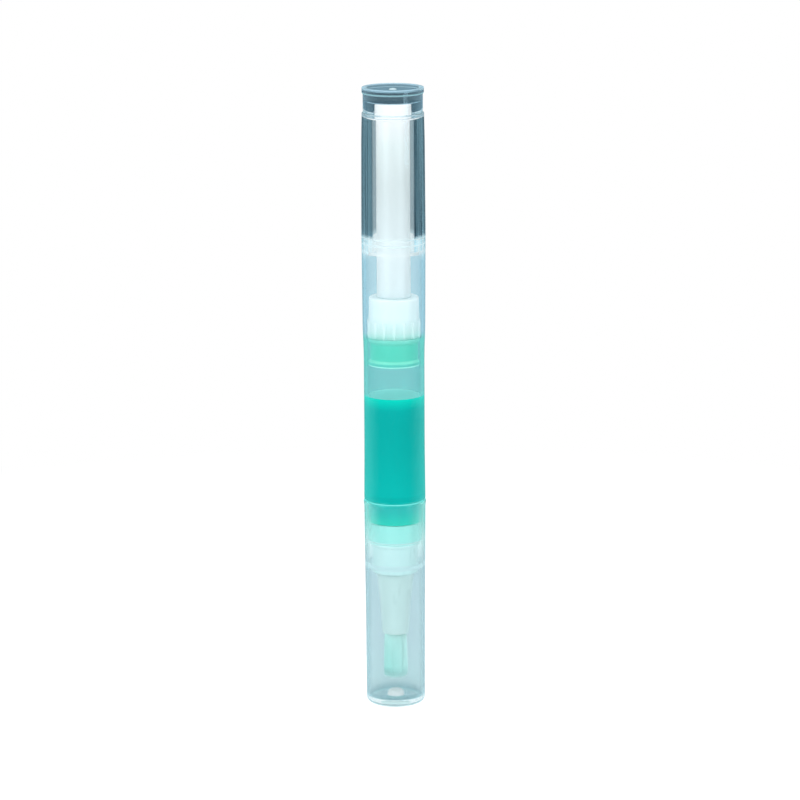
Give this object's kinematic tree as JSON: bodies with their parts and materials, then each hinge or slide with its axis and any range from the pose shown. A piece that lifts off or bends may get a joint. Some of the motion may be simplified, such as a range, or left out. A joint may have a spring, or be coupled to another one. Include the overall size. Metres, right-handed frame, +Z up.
{
  "type": "twist-up cuticle oil pen",
  "caption": "Slim twist-up pen for cuticle oil: turning knob, oil barrel with screw-driven piston, and a soft brush under a pull-off cap.",
  "frame": {"origin": "centre of the cap's foot, which the pen stands on", "axes": "+Z up along the pen, from the cap's foot to the end plug; the front of the picture faces -Y"},
  "size_m": [0.0168, 0.0168, 0.165],
  "materials": {
    "frosted_plastic": "translucent, lightly frosted",
    "barrel_plastic": "translucent, smooth",
    "clear_plastic": "clear, thick-walled, polished",
    "white_plastic": "smooth opaque",
    "pale_plastic": "smooth, slightly translucent",
    "mint_plastic": "soft translucent",
    "oil": "clear tinted liquid",
    "brush_hair": "fine soft filaments"
  },
  "bodies": {
    "barrel": {"barrel": "barrel_plastic", "guide_nut": "white_plastic", "brush_collar": "pale_plastic", "brush_ferrule": "pale_plastic", "feed_tube": "white_plastic", "brush_bristles": "brush_hair", "oil_fill": "oil"},
    "cap": {"cap": "frosted_plastic"},
    "knob": {"knob_tube": "clear_plastic", "end_plug": "clear_plastic", "drive_sleeve": "white_plastic"},
    "screw": {"screw_rod": "white_plastic"},
    "piston": {"piston": "mint_plastic"}
  },
  "joints": [
    {"name": "cap_pull", "type": "slide", "parent": "cap", "child": "barrel", "axis": [0, 0, 1], "range_m": [0, 0.055]},
    {"name": "knob_twist", "type": "hinge", "parent": "barrel", "child": "knob", "pos_m": [0, 0, 0.126], "axis": [0, 0, -1], "range_deg": [0, 2520]},
    {"name": "screw_advance", "type": "slide", "parent": "knob", "child": "screw", "axis": [0, 0, -1], "range_m": [0, 0.035]},
    {"name": "piston_slide", "type": "slide", "parent": "barrel", "child": "piston", "axis": [0, 0, -1], "range_m": [0, 0.035], "deforming": ["oil_fill"]}
  ],
  "couplings": [
    {"joint": "screw_advance", "follows": "knob_twist", "m_per_rad": 0.00079577},
    {"joint": "piston_slide", "follows": "knob_twist", "m_per_rad": 0.00079577}
  ]
}
